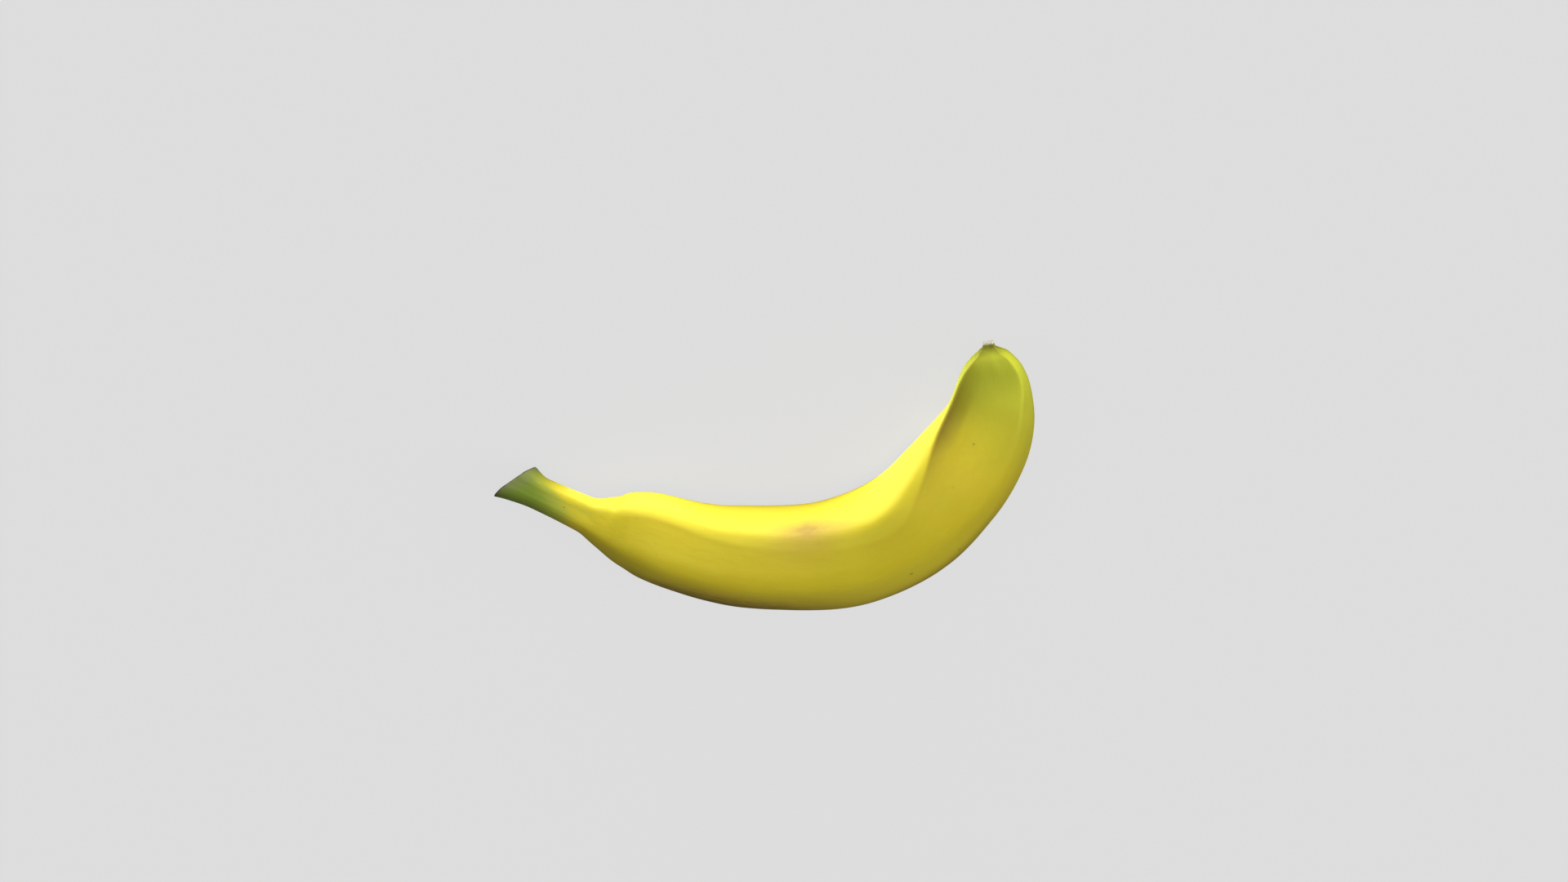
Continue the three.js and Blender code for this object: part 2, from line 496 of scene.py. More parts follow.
class SoftNoise:
    """Repeatable smooth noise in space: random values on a lattice, blended smoothly."""

    SIDE = 32
    OFFSET = 1000.5

    def __init__(self, seed: int) -> None:
        """Fill the lattice of one of the many fields."""
        self.values = np.random.default_rng(seed).uniform(-1, 1, (self.SIDE,) * 3)

    def at(self, points: Array, cell: float, stretch: float = 1.0) -> Array:
        """Return the noise at points.

        Args:
            points: Places in space, last axis 3.
            cell: Width of a lattice cell.
            stretch: How much longer a cell is in the last direction.

        Returns:
            Values between -1 and 1.
        """
        place = points / (cell * np.array([1.0, 1.0, stretch])) + self.OFFSET
        low = np.floor(place).astype(int)
        share = place - low
        share = share * share * (3 - 2 * share)
        total = np.zeros(points.shape[:-1])
        for corner in np.ndindex(2, 2, 2):
            weight = np.prod(np.where(np.array(corner), share, 1 - share), axis=-1)
            x, y, z = np.moveaxis((low + corner) % self.SIDE, -1, 0)
            total += weight * self.values[x, y, z]
        return total


@dataclass(frozen=True)
class Patch:
    """A soft patch of skin: its peak, and its place and size along and round the fruit.

    Along the fruit it is in millimetres, and round it in degrees from a line.
    """

    peak: float
    at: float
    length: float
    across: float
    width: float

    def spread(self, along: Array, across: Array) -> Array:
        """Return its value at places along and across the skin."""
        return self.peak * hump(along, self.at, self.length) * hump(
            across, self.across, self.width)

    def on(self, grid: SkinGrid, line: float | Array = 0.0) -> Array:
        """Return its value all over the skin, with degrees counted from a line."""
        return self.spread(grid.at, self.across + grid.off(line + self.across))


@dataclass(frozen=True)
class PeelRelief:
    """The small shape of the skin, as heights in millimetres over the plain form."""

    undulation: float = 0.2
    dimples: float = 0.06
    fibre_height: float = 0.018
    crest_height: float = 0.22
    crest_width: float = 1.3
    crest_changes: tuple[Swell, ...] = (Swell(-0.9, 112, 38), Swell(1.3, 190, 18))
    back_crest: float = 0.3
    groove_depth: float = 0.06
    grooves: int = 9
    grooves_end: float = 36.5
    cut_flare: Swell = Swell(0.22, 0, 1.6)
    crease_at: float = 35.4
    crease_length: float = 1.7
    crease_slant: float = 0.035
    crease_depth: float = 0.5
    crease_angle: float = 66.0
    dent: Patch = Patch(0.3, 106.5, 9, 61, 17)
    hollow: Patch = Patch(1.0, 188, 15, -16, 9)
    far_hollow: Patch = Patch(0.6, 184, 16, 15, 10)
    pleats: Swell = Swell(0.10, 213.5, 3)
    nub_foot: Swell = Swell(0.5, 218.6, 1.5)
    nub_ring: Swell = Swell(0.10, 219.6, 0.8)
    nub_roughness: float = 0.10
    nub_shrink: float = 0.45

    def height(self, grid: SkinGrid) -> Array:
        """Return how far the skin stands over the plain form at every point."""
        straight = grid.straight()
        slow = self.undulation * SoftNoise(3).at(straight, 13, 2.2)
        slow = slow + self.dimples * SoftNoise(4).at(straight, 4.5, 1.6)
        height = grid.stretch(4, 40, 205, 217) * slow
        height = height + self.fibre_height * SoftNoise(5).at(straight, 0.9, 14)
        height = height + self._crests(grid) + self._stem(grid) + self._tip(grid)
        height = height - self.dent.on(grid) - self.hollow.on(grid, grid.inner_ridge)
        return height - self.far_hollow.on(grid, 180 - grid.inner_ridge)

    def _crests(self, grid: SkinGrid) -> Array:
        """Return the raised lines along the ridges."""
        near = self.crest_height * (1 + sum(s.over(grid.at) for s in self.crest_changes))
        side = self.crest_height * (1 - grid.stretch(125, 160, 196, 206))
        ridges = [
            (grid.inner_ridge, near, 1.0),
            (180 - grid.inner_ridge, self.crest_height, 1.0),
            (grid.side_ridge, 0.45 * side, 1.6),
            (180 - grid.side_ridge, 0.6 * side, 1.4),
            (-90.0, self.back_crest, 2.6),
        ]
        total = np.zeros(grid.reach.shape)
        for line, crest, spread in ridges:
            total = total + crest * hump(grid.off_mm(line), 0, self.crest_width * spread)
        return total * grid.stretch(30, 60, 206, 216)

    def _stem(self, grid: SkinGrid) -> Array:
        """Return the stem's lengthwise grooves, its flared cut and the neck's crease."""
        turned = np.radians(grid.angle)
        sway = 0.5 * SoftNoise(7).at(grid.straight(), 6, 3)
        waves = 0.6 * np.cos(self.grooves * turned + sway)
        waves = waves + 0.4 * np.cos((2 * self.grooves + 1) * turned - 1.7 * sway)
        waves = waves * (1 - smoothstep(grid.at, 10, self.grooves_end))
        lean = self.crease_slant * grid.off(self.crease_angle)
        reach = hump(grid.off(self.crease_angle), 0, 30)
        reach = reach + 0.7 * hump(grid.off(180 - self.crease_angle), 0, 24)
        crease = reach * hump(grid.at, self.crease_at + lean, self.crease_length)
        return (self.groove_depth * waves + self.cut_flare.over(grid.at)
                - self.crease_depth * crease)

    def _tip(self, grid: SkinGrid) -> Array:
        """Return the shrunken nub with its swollen foot, and the pleats that run into it."""
        turned = np.radians(grid.angle)
        pleats = self.pleats.over(grid.at) * np.cos(5 * turned + 0.6)
        foot = self.nub_foot.over(grid.at) * np.clip(np.sin(turned), 0, 1)
        rough = self.nub_roughness * smoothstep(grid.at, 218.5, 220)
        rough = rough * SoftNoise(9).at(grid.straight(), 0.8)
        shrink = self.nub_shrink * smoothstep(grid.at, 215, 220)
        return pleats + foot + rough - self.nub_ring.over(grid.at) - shrink


@dataclass(frozen=True)
class PeelMasks:
    """Where the peel is green, bruised, browned or dry, and where light and shade are painted on
    it, as shares from 0 to 1.

    The bruise's patches are in millimetres both ways, from its heart.
    """

    stem_streak: Patch = Patch(0.2, 26, 7, 32, 26)
    bruise_at: float = 106.5
    bruise_angle: float = 61.0
    bruise_cloud: Patch = Patch(0.72, 0, 15, -2.2, 8.8)
    bruise_tail: Patch = Patch(0.26, 17, 10, -3.5, 4.5)
    bruise_heart: Patch = Patch(0.3, 0, 5, 0, 3.6)
    bruise_arm: Patch = Patch(0.17, 0, 1.6, 0, 3.6)
    bruise_bar: Patch = Patch(0.17, 0, 5, -0.4, 1.3)
    # Browned belly and back: partly the peel's own tint and partly painted shade towards the
    # lower back edge.
    browning: tuple[Patch, ...] = (
        Patch(1.0, 80, 32, -56, 24), Patch(0.45, 80, 50, -90, 34), Patch(0.10, 66, 30, 5, 40))
    # Painted shade: the peel is darkened beside the inner ridge near the tip and along the lower
    # edges of the back, where shade falls.
    close_shade: tuple[Swell, ...] = (Swell(0.70, 189, 18), Swell(0.2, 212, 12))
    broad_shade: Swell = Swell(0.40, 183, 25)
    close_fade: float = 11.0
    broad_fade: float = 45.0
    edge_shade: tuple[Patch, ...] = (Patch(0.80, 80, 27, -66, 15), Patch(0.62, 145, 28, -72, 13))
    ridge_width: float = 1.1
    ridge_gap: Swell = Swell(0.85, 112, 46)
    lip_angle: float = 50.0
    ring_at: float = 219.6

    def on(self, grid: SkinGrid) -> dict[Mask, Array]:
        """Return one array of shares for each mask."""
        soft = SoftNoise(11).at(grid.straight(), 9, 1.5)
        fine = SoftNoise(12).at(grid.straight(), 3, 2.0)
        upper = np.clip(np.sin(np.radians(grid.angle)), 0, 1) ** 2
        stem = 1 - smoothstep(grid.at + 11.5 * upper + 1.5 * soft, 4, 29)
        brown_and_shade = sum(patch.on(grid) for patch in self.browning)
        return {
            Mask.GREEN_STEM: stem + self.stem_streak.on(grid),
            Mask.GREEN_TIP: smoothstep(grid.at + 3 * soft, 174, 212),
            Mask.BRUISE: self._bruise(grid, soft, fine),
            Mask.BROWNING: np.clip(brown_and_shade * (1 + 0.35 * soft), 0, 1),
            Mask.SHADE: self._shade(grid, soft),
            Mask.LIP: self._lip(grid, fine),
            Mask.RIDGE: self._ridge(grid),
            Mask.DRY_END: self._dry(grid, fine),
            Mask.INSIDE: self._inside(grid),
        }

    def _ridge(self, grid: SkinGrid) -> Array:
        """Return how close each point is to a ridge line."""
        total = np.zeros(grid.reach.shape)
        for line in (grid.inner_ridge, 180 - grid.inner_ridge, -90.0):
            total = np.maximum(total, hump(grid.off_mm(line), 0, self.ridge_width))
        return total * grid.stretch(26, 45, 212, 218) * (1 - self.ridge_gap.over(grid.at))

    def _bruise(self, grid: SkinGrid, soft: Array, fine: Array) -> Array:
        """Return the bruise: a soft patch with a small cross at its heart."""
        place = grid.at - self.bruise_at, grid.off_mm(self.bruise_angle)
        cloud = self.bruise_cloud.spread(*place) * (1 + 0.25 * soft)
        cloud = cloud + self.bruise_tail.spread(*place) + self.bruise_heart.spread(*place)
        cross = np.maximum(self.bruise_arm.spread(*place), self.bruise_bar.spread(*place))
        return np.clip(np.clip(cloud, 0, 1) + (1 + 0.3 * fine) * cross, 0, 1)

    def _shade(self, grid: SkinGrid, soft: Array) -> Array:
        """Return the painted shade beside the inner ridge near the tip, and along the back."""
        below = -grid.off(grid.inner_ridge)
        beyond = np.clip(below, 0, None)
        close = np.exp(-beyond / self.close_fade) * sum(s.over(grid.at) for s in self.close_shade)
        broad = np.exp(-beyond / self.broad_fade) * self.broad_shade.over(grid.at)
        ridge = (close + broad) * smoothstep(below, -2.0, 2.5)
        edges = sum(patch.on(grid) for patch in self.edge_shade)
        return np.clip((ridge + edges) * (1 + 0.06 * soft), 0, 1)

    def _lip(self, grid: SkinGrid, fine: Array) -> Array:
        """Return the dull grey-green band behind the cut, broadest on the upper inner side."""
        facing = np.clip(np.cos(np.radians(grid.angle - self.lip_angle)), 0, 1)
        return hump(grid.at, 0, 0.8 + 0.3 * np.abs(fine) + 3.4 * facing)

    def _inside(self, grid: SkinGrid) -> Array:
        """Return 1 on the inner face, between the two inner ridges, where the peel is painted
        paler as a painted highlight.
        """
        lower = turn_between(180 - grid.inner_ridge, grid.angle)
        return smoothstep(grid.off(grid.inner_ridge), -3.0, 4.0) * smoothstep(lower, -3.0, 4.0)

    def _dry(self, grid: SkinGrid, fine: Array) -> Array:
        """Return the dark dried skin at the lip of the cut and under the scar."""
        outward = np.clip(-np.sin(np.radians(grid.angle)), 0, 1) ** 2
        lip = 0.75 * hump(grid.at, 0, 2.0 + fine) * outward
        return np.clip(lip + 0.62 * hump(grid.at, self.ring_at, 1.9 + 0.3 * fine), 0, 1)


@dataclass(frozen=True)
class EndCap:
    """The rounded lip and dished middle of one end of the fruit, in millimetres."""

    rows: int
    lip: float
    dish: float
    roughness: float
    seed: int

    def rings(self, rim: Array, outward: Array) -> tuple[Array, Array]:
        """Return the rings that close an end.

        Args:
            rim: The last ring of the wall.
            outward: Unit direction out of the fruit at this end.

        Returns:
            The rings from the rim to the middle, and each ring's share of the rim's radius.
        """
        middle = rim.mean(0)
        share = np.linspace(1.0, 0.0, self.rows + 1)[1:]
        share = np.where(share > 0.86, 1 - (1 - share) * 0.75, share)
        spokes = middle + (rim - middle) * share[:, None, None]
        edge = self.lip * np.sqrt(np.clip(1 - ((share - 0.88) / 0.13) ** 2, 0, 1))
        bowl = edge - self.dish * (1 - share**2) * smoothstep(1 - share, 0.08, 0.4)
        rough = SoftNoise(self.seed).at(spokes, 0.7) * self.roughness
        rough = rough + SoftNoise(self.seed + 1).at(spokes, 1.9) * self.roughness * 1.5
        height = bowl[:, None] + rough * smoothstep(1 - share, 0.0, 0.15)[:, None]
        return spokes + outward * height[..., None], share


@dataclass
class BananaSkin:
    """The whole skin of the fruit as one closed, dressed mesh."""

    form: FruitForm
    pose: RestPose
    relief: PeelRelief = PeelRelief()
    masks: PeelMasks = PeelMasks()
    ring_step: float = 0.5
    sides: int = 200
    detail: RidgeDetail = RidgeDetail()
    stem_cap: EndCap = EndCap(rows=26, lip=0.28, dish=0.7, roughness=0.09, seed=21)
    tip_cap: EndCap = EndCap(rows=12, lip=0.12, dish=0.18, roughness=0.03, seed=31)

    def build(self) -> bpy.types.Object:
        """Return the skin as an object in the scene, with its masks stored on it."""
        rings = self.form.ring_distances(self.ring_step)
        grid = self.form.grid(rings, self.sides, self.detail)
        wall = grid.points + grid.normals() * self.relief.height(grid)[..., None]
        stem, stem_share = self.stem_cap.rings(wall[0], self._cut_direction(grid))
        tip, tip_share = self.tip_cap.rings(wall[-1], grid.forward[-1, 0])
        rows = np.concatenate([stem[::-1], wall, tip])
        mesh = bpy.data.meshes.new("banana_skin")
        points = self.pose.place(rows).reshape(-1, 3)
        mesh.from_pydata(points.tolist(), [], self._faces(len(rows)))
        self._store(mesh, grid, stem_share, tip_share)
        self._assign_regions(mesh, len(stem), len(wall))
        self._close(mesh)
        mesh.polygons.foreach_set("use_smooth", [True] * len(mesh.polygons))
        return in_scene("banana_skin", mesh)

    @staticmethod
    def _cut_direction(grid: SkinGrid) -> Array:
        """Return the unit direction that the stem's cut faces."""
        rim = grid.points[0]
        quarter = len(rim) // 4
        across = np.cross(rim[quarter] - rim[0], rim[2 * quarter] - rim[0])
        across = across / np.linalg.norm(across)
        return across * -np.sign(across @ grid.forward[0, 0])

    def _faces(self, rows: int) -> list[tuple[int, int, int, int]]:
        """Return the corners of the quads between this many rings, wound to face out."""
        n = self.sides
        return [(k * n + j, k * n + (j + 1) % n, (k + 1) * n + (j + 1) % n, (k + 1) * n + j)
                for k in range(rows - 1) for j in range(n)]

    def _store(self, mesh: bpy.types.Mesh, grid: SkinGrid, stem_share: Array,
               tip_share: Array) -> None:
        """Store the straightened places and the masks on the vertices.

        Args:
            mesh: The skin's mesh.
            grid: The wall.
            stem_share: Each ring's share of the rim's radius, over the cut.
            tip_share: The same over the tip.
        """
        straight = grid.straight()
        flat = np.array([1.0, 1.0, 0.0])
        stem = straight[0] * flat * stem_share[::-1, None, None]
        tip = straight[-1] * flat * tip_share[:, None, None]
        tip = tip + np.array([0.0, 0.0, self.form.sizes.tip])
        rows = np.concatenate([stem, straight, tip]) * MM
        places = mesh.attributes.new(STRAIGHT, "FLOAT_VECTOR", "POINT")
        places.data.foreach_set("vector", rows.astype(np.float32).ravel())
        for mask, share in self.masks.on(grid).items():
            share = np.broadcast_to(share, grid.reach.shape)
            padded = np.pad(share, ((len(stem), len(tip)), (0, 0)), mode="edge")
            layer = mesh.attributes.new(mask.value, "FLOAT", "POINT")
            layer.data.foreach_set("value", padded.astype(np.float32).ravel())

    def _assign_regions(self, mesh: bpy.types.Mesh, stem_rows: int, wall_rows: int) -> None:
        """Give every face the material slot of its region, by the rings it lies between."""
        row = np.arange(len(mesh.polygons)) // self.sides
        slots = np.full(len(row), Region.PEEL.value)
        slots[row < stem_rows] = Region.STEM_CUT.value
        slots[row >= stem_rows + wall_rows - 2] = Region.BLOSSOM_SCAR.value
        mesh.polygons.foreach_set("material_index", slots.astype(np.int32))

    @staticmethod
    def _close(mesh: bpy.types.Mesh) -> None:
        """Merge the points that meet at both ends, and face everything outwards."""
        work = bmesh.new()
        work.from_mesh(mesh)
        bmesh.ops.remove_doubles(work, verts=work.verts, dist=1e-7)
        bmesh.ops.recalc_face_normals(work, faces=work.faces)
        work.to_mesh(mesh)
        work.free()
        mesh.update()


# --- Finishes ---


class NodeSheet:
    """A node tree with short ways to add the nodes that the finishes need."""

    def __init__(self, tree: Tree) -> None:
        """Keep the tree."""
        self.tree = tree

    def add(self, kind: str, inputs: dict | None = None, **settings: object) -> bpy.types.Node:
        """Return a new node.

        Args:
            kind: The node's type name, without ShaderNode.
            inputs: Sockets to link or plain values, by the input's name or number.
            settings: Properties to set on it first.
        """
        node = self.tree.nodes.new(kind if kind.startswith("NodeGroup") else f"ShaderNode{kind}")
        for name, value in settings.items():
            setattr(node, name, value)
        for key, value in (inputs or {}).items():
            socket = node.inputs[key]
            if isinstance(value, Socket):
                self.tree.links.new(value, socket)
            elif isinstance(value, tuple) and socket.type == "RGBA":
                socket.default_value = (*value, 1.0)
            else:
                socket.default_value = value
        return node

    def math(self, operation: str, a: object, b: object, clamp: bool = False) -> Socket:
        """Return the result of an operation on two values, clamped to 0 to 1 if asked."""
        return self.add("Math", {0: a, 1: b}, operation=operation, use_clamp=clamp).outputs[0]

    def times(self, a: object, b: object, clamp: bool = False) -> Socket:
        """Return the product of two values."""
        return self.math("MULTIPLY", a, b, clamp)

    def plus(self, a: object, b: object) -> Socket:
        """Return the sum of two values."""
        return self.math("ADD", a, b)

    def vector(self, operation: str, *inputs: object) -> Socket:
        """Return the first result of an operation on vectors."""
        return self.add("VectorMath", dict(enumerate(inputs)), operation=operation).outputs[0]

    def rise(self, value: object, low: float, high: float) -> Socket:
        """Return a smooth 0 to 1 rise of a value between low and high."""
        return self.add("MapRange", {"Value": value, "From Min": low, "From Max": high},
                        interpolation_type="SMOOTHSTEP").outputs["Result"]

    def blend(self, share: object, a: object, b: object) -> Socket:
        """Return a mix of two colours, with this share of the second."""
        return self.add("Mix", {"Factor": share, 6: a, 7: b}, data_type="RGBA").outputs[2]

    def noise(self, vector: Socket, scale: object, detail: float, roughness: float = 0.5,
              distortion: float = 0.0) -> Socket:
        """Return a noise pattern read at a vector."""
        return self.add("TexNoise", {
            "Vector": vector, "Scale": scale, "Detail": detail, "Roughness": roughness,
            "Distortion": distortion}).outputs["Fac"]

    def stored(self, name: str, output: str) -> Socket:
        """Return a layer stored on the mesh."""
        node = self.add("Attribute", attribute_name=name, attribute_type="GEOMETRY")
        return node.outputs[output]


class Effects:
    """The surface effects that several finishes share, each built once as a node group."""

    def __init__(self) -> None:
        """Build every effect."""
        self.groups = {build.__name__[1:]: build() for build in (
            self._mottle, self._fibres, self._specks, self._grain)}

    def on(self, sheet: NodeSheet, name: str, place: Socket, *values: float) -> list[Socket]:
        """Return an effect's results at a place, with these values for its other inputs."""
        node = sheet.add("Group", node_tree=self.groups[name])
        sheet.tree.links.new(place, node.inputs[0])
        for socket, value in zip(list(node.inputs)[1:], values):
            socket.default_value = value
        return list(node.outputs)

    @staticmethod
    def _new(name: str, *inputs: str) -> tuple[Tree, NodeSheet, list[Socket]]:
        """Return a new node group with a vector and these inputs, its sheet and the inputs."""
        group = bpy.data.node_groups.new(name, "ShaderNodeTree")
        for label in ("Vector", *inputs):
            kind = "NodeSocketVector" if label == "Vector" else "NodeSocketFloat"
            group.interface.new_socket(label, in_out="INPUT", socket_type=kind)
        sheet = NodeSheet(group)
        return group, sheet, list(sheet.add("NodeGroupInput").outputs)

    @staticmethod
    def _give(sheet: NodeSheet, **results: Socket) -> None:
        """Make these the results of a group."""
        for label in results:
            sheet.tree.interface.new_socket(
                label, in_out="OUTPUT", socket_type="NodeSocketFloat")
        sheet.add("NodeGroupOutput", results)

    def _mottle(self) -> Tree:
        """Return slow, cloudy variation in two sizes."""
        group, sheet, (vector, scale, stretch, *_) = self._new("Mottle", "Scale", "Stretch")
        joined = sheet.add("CombineXYZ", {0: 1.0, 1: 1.0, 2: stretch}).outputs[0]
        place = sheet.vector("MULTIPLY", vector, joined)
        broad = sheet.noise(place, scale, 2.0, 0.5, 0.4)
        fine = sheet.noise(place, sheet.times(scale, 6.3), 4.0, 0.62, 0.2)
        self._give(sheet, Broad=sheet.rise(broad, 0.25, 0.75), Fine=sheet.rise(fine, 0.3, 0.7))
        return group

    def _fibres(self) -> Tree:
        """Return thin strands that run along the fruit, and their height."""
        group, sheet, (vector, density, *_) = self._new("LengthwiseFibres", "Density")
        drawn = sheet.vector("MULTIPLY", vector, (1.0, 1.0, 0.035))
        strands = sheet.noise(drawn, density, 3.0, 0.6, 0.15)
        bundles = sheet.noise(drawn, sheet.times(density, 0.3), 2.0, 0.5, 0.2)
        both = sheet.plus(sheet.times(strands, 0.6), sheet.times(bundles, 0.4))
        self._give(sheet, Strands=sheet.rise(both, 0.38, 0.62), Height=both)
        return group

    def _specks(self) -> Tree:
        """Return small scattered specks of many sizes, and a halo round each."""
        group, sheet, (vector, density, share, size, *_) = self._new(
            "Freckles", "Density", "Share", "Size")
        bend = sheet.noise(vector, 700.0, 2.0)
        warped = sheet.vector("MULTIPLY_ADD", bend, (0.0012, 0.0012, 0.0012), vector)
        cell = sheet.add("TexVoronoi", {"Vector": warped, "Scale": density}).outputs
        split = sheet.add("SeparateColor", {0: cell["Color"]}).outputs
        chosen = sheet.math("LESS_THAN", split[0], share)
        size = sheet.times(size, sheet.plus(split[1], 0.35))
        edge, wide = (
            sheet.math("SUBTRACT", 1.0, sheet.math("DIVIDE", cell["Distance"], reach), clamp=True)
            for reach in (size, sheet.times(size, 2.6)))
        self._give(sheet, Specks=sheet.times(sheet.rise(edge, 0.0, 0.55), chosen),
                   Halo=sheet.times(wide, chosen))
        return group

    def _grain(self) -> Tree:
        """Return the finest grain and pitting of a surface."""
        group, sheet, (vector, density, *_) = self._new("FineGrain", "Density")
        grain = sheet.noise(vector, density, 3.0, 0.65)
        cell = sheet.add("TexVoronoi", {"Vector": vector, "Scale": sheet.times(density, 0.55)})
        self._give(sheet, Grain=grain, Pits=sheet.rise(cell.outputs["Distance"], 0.05, 0.45))
        return group


@dataclass(frozen=True)
class Finish:
    """A surface with cloudy mottling, specks and fine grain, in a colour of its own."""

    name: str
    mottle: tuple[float, float]
    specks: tuple[float, float, float]
    grain: float
    bumps: Bumps
    roughness: float
    unevenness: float
    specular: float = 0.2

    def material(self, effects: Effects) -> bpy.types.Material:
        """Return the finish as a material, made with the shared effects."""
        material = bpy.data.materials.new(self.name)
        material.use_nodes = True
        material.node_tree.nodes.clear()
        sheet = NodeSheet(material.node_tree)
        marks = self.marks(sheet, effects)
        shader = sheet.add("BsdfPrincipled", {
            "Base Color": self.colour(sheet, marks), "Roughness": self.rough(sheet, marks),
            "Specular IOR Level": self.specular, **self.glow(sheet)})
        bumped: dict[str, Socket] = {}
        for mark, strength, distance in self.bumps:
            bump = sheet.add("Bump", {
                "Height": marks[mark], "Strength": strength, "Distance": distance, **bumped})
            bumped = {"Normal": bump.outputs["Normal"]}
        sheet.tree.links.new(bumped["Normal"], shader.inputs["Normal"])
        sheet.add("OutputMaterial", {"Surface": shader.outputs["BSDF"]})
        return material

    def place(self, sheet: NodeSheet) -> Socket:
        """Return where on the surface its patterns are read."""
        return sheet.stored(STRAIGHT, "Vector")

    def marks(self, sheet: NodeSheet, effects: Effects) -> Marks:
        """Return the results of the effects by name."""
        place = self.place(sheet)
        found = [*effects.on(sheet, "mottle", place, *self.mottle),
                 *effects.on(sheet, "specks", place, *self.specks),
                 *effects.on(sheet, "grain", place, self.grain)]
        return {"place": place, **{socket.name: socket for socket in found}}

    def rough(self, sheet: NodeSheet, marks: Marks) -> Socket:
        """Return the roughness."""
        return sheet.plus(self.roughness, sheet.times(marks["Broad"], self.unevenness))

    def glow(self, sheet: NodeSheet) -> dict[str, object]:
        """Return the shader's inputs that make it glow."""
        return {}


@dataclass(frozen=True)
class PeelFinish(Finish):
    """Waxy yellow peel, green at the stem and greenish at the tip."""

    name: str = "banana_peel"
    mottle: tuple[float, float] = (70.0, 0.45)
    fibres: float = 800.0
    specks: tuple[float, float, float] = (190.0, 0.16, 0.085)
    grain: float = 2600.0
    bumps: Bumps = (
        ("Fine", 0.30, 0.00012), ("Height", 0.35, 0.00010), ("Grain", 0.25, 0.00004),
        ("Specks", 0.25, 0.00006))
    roughness: float = 0.50
    specular: float = 0.14
    unevenness: float = 0.10
    dry_roughness: float = 0.28
    bruise_roughness: float = 0.10
    yellow: Colour = (0.80, 0.655, 0.032)
    warm_yellow: Colour = (0.79, 0.60, 0.026)
    # pale tone for random variation, also the painted highlight on the inner face
    pale_yellow: Colour = (0.84, 0.74, 0.055)
    stem_green: Colour = (0.215, 0.31, 0.034)
    mid_green: Colour = (0.45, 0.48, 0.050)
    rim_grey: Colour = (0.27, 0.285, 0.115)
    tip_green: Colour = (0.54, 0.58, 0.042)
    bruise_brown: Colour = (0.40, 0.235, 0.075)
    # browned tint of the ridges and the specks' halos, also laid on the lower belly and back as
    # partly painted shade
    belly_brown: Colour = (0.33, 0.19, 0.030)
    # painted shade colour, laid beside the tip's ridge and along the lower back edges
    shade_brown: Colour = (0.17, 0.10, 0.012)
    dry_brown: Colour = (0.060, 0.046, 0.016)
    speck_brown: Colour = (0.17, 0.085, 0.025)

    def marks(self, sheet: NodeSheet, effects: Effects) -> Marks:
        """Return the effects and the stored masks."""
        marks = super().marks(sheet, effects)
        strands, height = effects.on(sheet, "fibres", marks["place"], self.fibres)
        masks = {mask: sheet.stored(mask.value, "Fac") for mask in Mask}
        return {**marks, **masks, "Strands": strands, "Height": height}

    def rough(self, sheet: NodeSheet, marks: Marks) -> Socket:
        """Return the roughness, higher where the peel is dry or bruised."""
        uneven = sheet.times(sheet.math("SUBTRACT", marks["Fine"], 0.5), self.unevenness)
        rough = sheet.plus(self.roughness, uneven)
        rough = sheet.plus(rough, sheet.times(marks[Mask.DRY_END], self.dry_roughness))
        return sheet.plus(rough, sheet.times(marks[Mask.BRUISE], self.bruise_roughness))

    def colour(self, sheet: NodeSheet, marks: Marks) -> Socket:
        """Return the peel's colour: the fresh peel first, and its marks over it."""
        fine, broad = marks["Fine"], marks["Broad"]
        strands = sheet.times(sheet.math("SUBTRACT", marks["Strands"], 0.5), 0.10)
        green = sheet.plus(marks[Mask.GREEN_STEM], strands)
        cloudy = sheet.plus(0.82, sheet.times(fine, 0.36))
        soft = sheet.plus(0.70, sheet.times(fine, 0.14))
        brown_and_shade = sheet.times(marks[Mask.BROWNING], cloudy)
        lip = sheet.times(marks[Mask.LIP], cloudy)
        ridge = sheet.times(marks[Mask.RIDGE], broad)
        colour = self.yellow
        for share, over in (
            (sheet.times(broad, 0.45), self.warm_yellow),
            (sheet.times(fine, 0.22), self.pale_yellow),
            # painted highlight: the inner face painted paler, as if lit from above
            (sheet.times(marks[Mask.INSIDE], 0.35), self.pale_yellow),
            (sheet.times(marks[Mask.GREEN_TIP], 0.92), self.tip_green),
            (sheet.rise(green, 0.02, 0.5), self.mid_green),
            (sheet.rise(green, 0.4, 1.0), self.stem_green),
            (sheet.times(marks[Mask.BRUISE], soft, clamp=True), self.bruise_brown),
            # browned belly, partly real tint and partly painted shade towards the lower back
            (sheet.times(brown_and_shade, 0.62, clamp=True), self.belly_brown),
            # painted shade beside the tip's ridge and along the lower back edges
            (sheet.times(marks[Mask.SHADE], 0.92, clamp=True), self.shade_brown),
            (sheet.times(lip, 0.7, clamp=True), self.rim_grey),
            (sheet.times(ridge, 0.16), self.belly_brown),
            (sheet.times(marks["Halo"], 0.12), self.belly_brown),
            (sheet.times(marks["Specks"], 0.5), self.speck_brown),
            (sheet.times(marks[Mask.DRY_END], cloudy, clamp=True), self.dry_brown),
        ):
            colour = sheet.blend(share, colour, over)
        return colour


